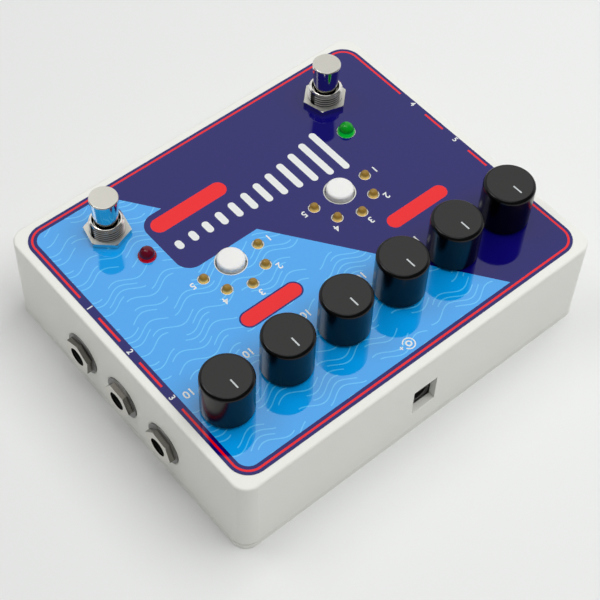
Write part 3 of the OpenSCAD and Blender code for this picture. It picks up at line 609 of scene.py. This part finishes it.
for part in frame["record"]["subparts"]:
    finish = OWN_PLATE.get(part["node"], FINISHES[part["material_slot"]])
    for material_slot in nodes[part["node"]].material_slots:
        material_slot.material = finish

# %% [markdown]
# ## Threaded bushings
# Each footswitch comes through the roof in a bushing with a fine screw thread and a key slot down one side. A
# thread is a ridge that climbs one pitch per turn, so the radius at any angle and height follows from a
# triangle wave. Rings of points stacked along that rule make the whole bushing, inside and out, as one skin.

# %% Rings of points into a closed skin
def to_data(mesh, name):
    data = bpy.data.meshes.new(name)
    mesh.to_mesh(data)
    mesh.free()
    return data


def skin_rings(name, rings):
    mesh = bmesh.new()
    rows = [[mesh.verts.new(point) for point in ring] for ring in rings]
    for low, high in zip(rows, rows[1:] + rows[:1]):
        for k in range(len(low)):
            after = (k + 1) % len(low)
            mesh.faces.new((low[k], low[after], high[after], high[k]))
    bmesh.ops.recalc_face_normals(mesh, faces=mesh.faces)
    data = to_data(mesh, name)
    for face in data.polygons:
        face.use_smooth = True
    return add_object(name, data)


def dress(piece, material, body, crease=40):
    piece.data.materials.append(material)
    piece.data.set_sharp_from_angle(angle=math.radians(crease))
    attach(piece, body)


print("Skin helpers ready")

# %% [markdown]
# A thread is cut with a tool that leaves it duller than the polished rim. Its valleys are painted dark as
# painted shade, where little light reaches.
# The distance from the bushing's axis tells a valley from a crest. Both bushings stand at the same
# distance from the middle, so the size of the place across serves the two.

# %% Plate on a thread
RIM, RIM_FADE = 0.85 * MM, 0.05 * MM
VALLEY, CREST = 5.46 * MM, 5.6 * MM

thread_plate, tree, shader = new_material("thread_plate", Metallic=1)
axis = middle_of("bypass_switch_bushing")
rim_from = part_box("bypass_switch_bushing")[1].z - RIM
place = add_node(tree, "SeparateXYZ", {"Vector": object_point(tree)}).outputs
off_x = calc(tree, "SUBTRACT", calc(tree, "ABSOLUTE", place["X"]), axis.x)
off_y = calc(tree, "SUBTRACT", place["Y"], axis.y)
crest = add_node(tree, "MapRange", {"Value": hypotenuse(tree, off_x, off_y), "From Min": VALLEY,
                                    "From Max": CREST})
rim = use_group(tree, rise_group, Low=rim_from, High=rim_from + RIM_FADE)["Share"]
bright = calc(tree, "MAXIMUM", crest.outputs[0], rim)
# The valleys get a dark painted shade; the crests and the polished rim keep the bright plate.
plate_with_painted_shade = blend_colours(tree, bright, rgb(0.03, 0.029, 0.027), rgb(0.92, 0.90, 0.84))
shade(tree, shader, "Base Color", plate_with_painted_shade)
shade(tree, shader, "Roughness", between(tree, rim, 0.38, 0.10))
print("Thread plate made")

# %% The bushing's rule
BUSH_R, MOUTH_R, BORE_R = 5.8 * MM, 4.7 * MM, 4.15 * MM
MOUTH_DEPTH = 4.0 * MM
PLATE_T = 1.2 * MM
THREAD_PITCH, THREAD_DEPTH = 1.0 * MM, 0.5 * MM
THREAD_FROM = 35.6 * MM
ROWS_PER_PITCH = 10
SLOT_HALF, SLOT_FLOOR = 1.0 * MM, 5.2 * MM
SLOT_SHARES = (-1.01, -0.99, -0.5, 0, 0.5, 0.99, 1.01)
BUSH_STEPS = 120
TURN = 2 * math.pi

slot_angle = math.asin(SLOT_HALF / BUSH_R)


def from_slot(angle):
    return min(angle, TURN - angle)


def thread_radius(angle, height):
    wave = abs(2 * ((height / THREAD_PITCH - angle / TURN) % 1) - 1)
    return BUSH_R - THREAD_DEPTH * wave


def keyed(radius, angle):
    if from_slot(angle) < slot_angle:
        return min(radius, SLOT_FLOOR / math.cos(from_slot(angle)))
    return radius


even_angles = [TURN * k / BUSH_STEPS for k in range(BUSH_STEPS)]
angles = [a for a in even_angles if from_slot(a) >= slot_angle]
angles = sorted(angles + [(share * slot_angle) % TURN for share in SLOT_SHARES])
print("Angles round a bushing:", len(angles))

# %% Two bushings
NEAR_ZERO = 1e-6


def bushing_rings(low, high):
    centre = (low + high) / 2
    half_w, half_d = (high.x - low.x) / 2, (high.y - low.y) / 2

    def ring(radius_at, height):
        return [Vector((centre.x + radius_at(a) * math.cos(a), centre.y + radius_at(a) * math.sin(a), height))
                for a in angles]

    def plate_edge(a):
        return min(half_w / max(abs(math.cos(a)), NEAR_ZERO), half_d / max(abs(math.sin(a)), NEAR_ZERO))

    def outline(a, height):
        slope = BUSH_R - max(0, height - (high.z - RIM))
        return keyed(min(thread_radius(a, height), slope), a)

    plate_top = low.z + PLATE_T
    mouth_z = high.z - MOUTH_DEPTH
    rings = [ring(lambda a: BORE_R, low.z), ring(plate_edge, low.z), ring(plate_edge, plate_top),
             ring(lambda a: keyed(BUSH_R - THREAD_DEPTH, a), plate_top)]
    count = round((high.z - THREAD_FROM) / THREAD_PITCH * ROWS_PER_PITCH)
    for k in range(count + 1):
        height = THREAD_FROM + (high.z - THREAD_FROM) * k / count
        rings.append(ring(lambda a, z=height: outline(a, z), height))
    rings += [ring(lambda a: MOUTH_R, high.z), ring(lambda a: MOUTH_R, mouth_z),
              ring(lambda a: BORE_R, mouth_z)]
    return rings


for side_name in ("bypass", "tap"):
    node_name = side_name + "_switch_bushing"
    bushing = skin_rings(side_name + "_threaded_bushing", bushing_rings(*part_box(node_name)))
    dress(bushing, thread_plate, "case", crease=50)
    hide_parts(node_name)
    print(bushing.name, len(bushing.data.polygons), "faces")

# %% [markdown]
# ## Cut-outs and lips
# The label is punched before it is stuck on, so its cut-outs don't follow the drilled holes exactly. A copy
# of the label has wider cut-outs for the buttons, which bare a white ring of roof, and narrower ones for the
# small lamps and the red one. Only the points on a cut-out's edge move, straight out from its middle or in
# towards it.

# %% Where the small lamps stand
BUTTONS = {"near": "mode_button", "far": "divide_button"}
LAMP_RING_R, LAMPS_PER_RING = 10.95 * MM, 5


def on_ring(centre, radius, share):
    angle = math.pi * share
    return Vector((centre.x + radius * math.cos(angle), centre.y + radius * math.sin(angle), 0))


button_spots = {side_name: middle_of(node_name) for side_name, node_name in BUTTONS.items()}
small_lamps = {}
for side_name, spot in button_spots.items():
    for k in range(LAMPS_PER_RING):
        name = "%s_%d" % (side_name, k + 1)
        small_lamps[name] = on_ring(spot, LAMP_RING_R, k / (LAMPS_PER_RING - 1))
print("Small lamps:", len(small_lamps))

# %% A label with its own cut-outs
BUTTON_HOLE, BUTTON_CUT = 5.2 * MM, 5.42 * MM
DOT_HOLE, DOT_CUT = 2.2 * MM, 2.04 * MM
LAMP_HOLE, LAMP_CUT = 3.2 * MM, 3.03 * MM
EDGE_SLACK = 0.04 * MM

label = add_object("punched_label", nodes["face_label"].data.copy())


def recut(centre, old_r, new_r):
    moved = 0
    for point in label.data.vertices:
        out = Vector((point.co.x - centre.x, point.co.y - centre.y, 0))
        if abs(out.length - old_r) < EDGE_SLACK:
            point.co += out.normalized() * (new_r - old_r)
            moved += 1
    return moved


moved = [recut(spot, BUTTON_HOLE, BUTTON_CUT) for spot in button_spots.values()]
moved += [recut(lamp, DOT_HOLE, DOT_CUT) for lamp in small_lamps.values()]
moved.append(recut(middle_of("status_led"), LAMP_HOLE, LAMP_CUT))
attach(label, "case")
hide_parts("face_label")
print("Edge points moved:", moved)

# %% [markdown]
# A white lip of coated metal shows round each small lamp. Each lip is a flat ring at the roof's level, a
# little wider than the lamp.

# %% White lips
LIP_IN, LIP_OUT, LIP_T = 1.72 * MM, 2.01 * MM, 0.8 * MM
LIP_STEPS = 48

roof_z = label_low.z
lip_outline = [(LIP_IN, roof_z - LIP_T), (LIP_OUT, roof_z - LIP_T), (LIP_OUT, roof_z), (LIP_IN, roof_z)]
lip_angles = [TURN * k / LIP_STEPS for k in range(LIP_STEPS)]
for name, lamp in small_lamps.items():
    rings = [[(lamp.x + r * math.cos(a), lamp.y + r * math.sin(a), z) for a in lip_angles]
             for r, z in lip_outline]
    lip = skin_rings("lamp_lip_" + name, rings)
    dress(lip, powder_coat, "case")
print("Lips:", len(small_lamps))

# %% [markdown]
# ## Pointers
# A white line on each knob shows where it stands. On the real knob a groove is wiped full of paint. The solid
# has the groove, and a small bar with softened edges fills it just below the rim. It rides on the same dial
# as its knob, so it turns with it.

# %% White pointers
DIALS = ("delay", "feedback", "depth", "rate", "gain", "blend")
POINTER_W, POINTER_L = 0.53 * MM, 3.56 * MM
POINTER_FROM = 1.52 * MM
POINTER_T, POINTER_SUNK = 0.26 * MM, 0.02 * MM
POINTER_SOFT = 0.06 * MM


def paint_bar(name, centre, size, soft):
    mesh = bmesh.new()
    bmesh.ops.create_cube(mesh, size=1)
    bmesh.ops.scale(mesh, vec=size, verts=mesh.verts)
    bmesh.ops.bevel(mesh, geom=mesh.edges[:], offset=soft, segments=2, affect="EDGES", profile=0.5)
    bmesh.ops.translate(mesh, vec=centre, verts=mesh.verts)
    return add_object(name, to_data(mesh, name))


for dial in DIALS:
    knob_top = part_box(dial + "_knob")[1].z
    middle = middle_of(dial + "_knob")
    centre = Vector((middle.x, middle.y + POINTER_FROM + POINTER_L / 2,
                     knob_top - POINTER_SUNK - POINTER_T / 2))
    pointer = paint_bar(dial + "_pointer", centre, (POINTER_W, POINTER_L, POINTER_T), POINTER_SOFT)
    dress(pointer, pointer_paint, dial + "_dial")
print("Pointers:", len(DIALS))

# %% [markdown]
# ## White ink
# The label also has white print: numbers by the knobs, lamps and jacks, and a row of bars that die away like
# an echo. Ink stands a hair above the film, so each figure is cut from a very thin sheet. Blender's own
# letters give the numbers, and all the sheets are joined into one piece.

# %% Figures and bars as thin sheets
INK_T = 0.02 * MM
FIGURE_SHARE = 0.7
BOLDER = 0.03
END_STEPS = 12

ink = bmesh.new()


def stamp(data, spot, turn=0.0):
    ink_place = Matrix.Translation((spot[0] * MM, spot[1] * MM, label_high.z + INK_T / 2))
    data.transform(ink_place @ Matrix.Rotation(turn, 4, "Z"))
    ink.from_mesh(data)
    bpy.data.meshes.remove(data)


def figure(text, height):
    curve = bpy.data.curves.new("figure", "FONT")
    curve.body = text
    curve.size = height / FIGURE_SHARE * MM
    curve.align_x, curve.align_y = "CENTER", "CENTER"
    curve.offset = BOLDER * height * MM
    curve.extrude = INK_T / 2
    curve.resolution_u = 4
    shape = add_object("figure", curve)
    data = bpy.data.meshes.new_from_object(shape.evaluated_get(bpy.context.evaluated_depsgraph_get()))
    bpy.data.objects.remove(shape)
    bpy.data.curves.remove(curve)
    return data


def flat_sheet(outline):
    sheet = bmesh.new()
    face = sheet.faces.new([sheet.verts.new((x * MM, y * MM, -INK_T / 2)) for x, y in outline])
    raised = bmesh.ops.extrude_face_region(sheet, geom=[face])
    bmesh.ops.translate(sheet, vec=(0, 0, INK_T),
                        verts=[v for v in raised["geom"] if isinstance(v, bmesh.types.BMVert)])
    bmesh.ops.recalc_face_normals(sheet, faces=sheet.faces)
    return to_data(sheet, "flat")


def bar_sheet(width, length):
    r = width / 2
    arc = [math.pi * k / END_STEPS for k in range(END_STEPS + 1)]
    outline = [(r * math.cos(a), length / 2 - r + r * math.sin(a)) for a in arc]
    outline += [(-r * math.cos(a), r - length / 2 - r * math.sin(a)) for a in arc]
    return flat_sheet(outline)


print("Ink helpers ready, label top at", round(label_high.z / MM, 2), "mm")

# %% Numbers on the label
KNOB_FIGURE_R, KNOB_FIGURE_ANGLE = 12.4, math.radians(150)
LAMP_FIGURE_R = 15.2
JACK_FIGURE_X = 67.6
KNOB_FIGURE_H, LAMP_FIGURE_H, JACK_FIGURE_H = 2.6, 2.4, 2.0

for dial in DIALS:
    x, y = (middle_of(dial + "_knob") / MM).xy
    for text, way in (("0", -1), ("10", 1)):
        stamp(figure(text, KNOB_FIGURE_H), (x + way * KNOB_FIGURE_R * math.sin(KNOB_FIGURE_ANGLE),
                                            y + KNOB_FIGURE_R * math.cos(KNOB_FIGURE_ANGLE)))
for spot in button_spots.values():
    for k in range(LAMPS_PER_RING):
        figure_spot = on_ring(spot / MM, LAMP_FIGURE_R, 1 - k / (LAMPS_PER_RING - 1))
        stamp(figure(str(k + 1), LAMP_FIGURE_H), figure_spot)
for first_number, x in ((1, JACK_FIGURE_X), (1 + JACKS_PER_SIDE, -JACK_FIGURE_X)):
    for k in range(JACKS_PER_SIDE):
        figure_spot = (x, GAP_MIDDLE + (k - 1) * GAP_STEP)
        stamp(figure(str(first_number + k), JACK_FIGURE_H), figure_spot, math.pi / 2)
print("Figures stamped, vertices so far:", len(ink.verts))

# %% [markdown]
# Every low-voltage inlet carries the same plain sign for its poles: a small ring for the pin inside an open
# ring for the sleeve, and a cross. Each arc is an outline that runs out along one radius and back along
# another.

# %% Supply sign
SIGN_SPOT = (0.4, 51.1)
SIGN_ARCS = [(1.95, 0.4, 25, 335), (0.85, 0.5, 0, 180), (0.85, 0.5, 180, 360)]
CROSS_RIGHT, CROSS_L, CROSS_W = 3.0, 1.3, 0.36
ARC_STEPS = 40


def arc_sheet(middle_r, width, start, stop):
    turns = [math.radians(start + (stop - start) * k / ARC_STEPS) for k in range(ARC_STEPS + 1)]
    far_r, near_r = middle_r + width / 2, middle_r - width / 2
    outline = [(far_r * math.cos(a), far_r * math.sin(a)) for a in turns]
    return flat_sheet(outline + [(near_r * math.cos(a), near_r * math.sin(a)) for a in reversed(turns)])


def cross_sheet(length, width):
    far, near = length / 2, width / 2
    arm = [(far, -near), (far, near), (near, near)]
    turned = [[(x, y), (-y, x), (-x, -y), (y, -x)] for x, y in arm]
    return flat_sheet([quarters[k] for k in range(4) for quarters in turned])


for arc in SIGN_ARCS:
    stamp(arc_sheet(*arc), SIGN_SPOT)
stamp(cross_sheet(CROSS_L, CROSS_W), (SIGN_SPOT[0] + CROSS_RIGHT, SIGN_SPOT[1]))
print("Supply sign stamped, vertices so far:", len(ink.verts))

# %% Echo bars
BAR_COUNT = 12
BAR_W, BAR_STEP, FIRST_BAR_X = 2.5, 5.7, -31.5
BAR_ROW, FIRST_BAR_L, BAR_FADE = -22.5, 19.5, 0.86
SHORTEST_BAR = 1.4 * BAR_W

for k in range(BAR_COUNT):
    bar_length = max(FIRST_BAR_L * BAR_FADE ** k, SHORTEST_BAR)
    stamp(bar_sheet(BAR_W, bar_length), (FIRST_BAR_X + k * BAR_STEP, BAR_ROW))
label_ink = add_object("label_ink", to_data(ink, "label_ink"))
dress(label_ink, white_ink, "case")
print("Ink faces:", len(label_ink.data.polygons))

# %% [markdown]
# ## Floor and light
# The photograph was taken on a pale sheet in broad soft light. The floor is a plane. One lamp is a large area
# light overhead, to one side, so the near walls fall into a gentle shade, and a weaker one stands across from
# it. Shiny things also need something to mirror: rays that come off them see a white backdrop behind the
# pedal, a dark room on the camera's side and a small glow straight above. The large lamp itself is left out
# of the mirrors, where it would make white stripes.

# %% Floor
FLOOR_HALF = 3
FLOOR_CORNERS = [(-1, -1), (1, -1), (1, 1), (-1, 1)]

floor_data = bpy.data.meshes.new("floor")
floor_data.from_pydata([(x * FLOOR_HALF, y * FLOOR_HALF, 0) for x, y in FLOOR_CORNERS], [], [(0, 1, 2, 3)])
floor = add_object("floor", floor_data)
paper, tree, shader = new_material("paper", Roughness=0.9, Specular_IOR_Level=0.1)
grain = use_group(tree, grain_group, Grains_Per_Metre=800, Contrast=0.2)
sheet_colour = blend_colours(tree, grain["Tone"], rgb(0.80, 0.81, 0.80), rgb(0.82, 0.83, 0.82))
shade(tree, shader, "Base Color", sheet_colour)
floor_data.materials.append(paper)
print("Floor made")

# %% World
FILL = 0.31
BACKDROP = 0.82
DARK_ROOM = 0.12
ROOM_EDGE, BACKDROP_EDGE = 0.15, 0.42
ZENITH = 1.6
ZENITH_FROM, ZENITH_TO = 0.94, 0.97

world = bpy.data.worlds.new("studio")
bpy.context.scene.world = world
world.use_nodes = True
tree = world.node_tree
fill_light = tree.nodes["Background"]
fill_light.inputs["Color"].default_value = rgb(1, 1, 1)
fill_light.inputs["Strength"].default_value = FILL
outlook = add_node(tree, "TexCoord").outputs["Generated"]
away = Vector((-toward_camera.x, -toward_camera.y, 0)).normalized()
behind = add_node(tree, "VectorMath", {0: outlook, 1: away}, operation="DOT_PRODUCT")
room = add_node(tree, "MapRange", {"Value": behind.outputs["Value"], "From Min": ROOM_EDGE,
                                   "From Max": BACKDROP_EDGE, "To Min": DARK_ROOM, "To Max": BACKDROP},
                interpolation_type="SMOOTHSTEP")
height = add_node(tree, "SeparateXYZ", {"Vector": outlook}).outputs["Z"]
glow = add_node(tree, "MapRange", {"Value": height, "From Min": ZENITH_FROM, "From Max": ZENITH_TO,
                                   "To Max": ZENITH})
mirrored = calc(tree, "MAXIMUM", room.outputs[0], glow.outputs[0])
ray = add_node(tree, "LightPath").outputs
strength = blend_values(tree, ray["Is Camera Ray"], mirrored, BACKDROP)
walls = add_node(tree, "Background", {"Color": rgb(0.98, 0.985, 1.0), "Strength": strength})
seen = calc(tree, "MAXIMUM", ray["Is Camera Ray"],
            calc(tree, "MAXIMUM", ray["Is Glossy Ray"], ray["Is Transmission Ray"]))
switch = add_node(tree, "MixShader", {0: seen, 1: fill_light.outputs[0], 2: walls.outputs[0]})
tree.links.new(switch.outputs[0], tree.nodes["World Output"].inputs["Surface"])
print("World: fill", FILL, "backdrop", BACKDROP)


# %% Soft lamps
def soft_lamp(name, place, facing, width, depth, watts):
    lamp_data = bpy.data.lights.new(name, "AREA")
    lamp_data.shape = "RECTANGLE"
    lamp_data.size, lamp_data.size_y = width, depth
    lamp_data.energy = watts
    lamp = add_object(name, lamp_data)
    lamp.location = place
    lamp.rotation_mode = "QUATERNION"
    lamp.rotation_quaternion = Vector(facing).to_track_quat("Z", "Y")
    return lamp


overhead = soft_lamp("overhead_lamp", place=(-0.40, 0.26, 1.1), facing=(0, 0, 1), width=0.95, depth=1.1,
                     watts=10.9)
overhead.visible_glossy = False
small = soft_lamp("small_lamp", place=(0.32, -0.44, 1.02), facing=(0.32, -0.44, 1.02), width=0.4, depth=0.4,
                  watts=2.0)
bpy.context.scene.view_settings.view_transform = "Standard"
print("Lamps made:", overhead.name, small.name)
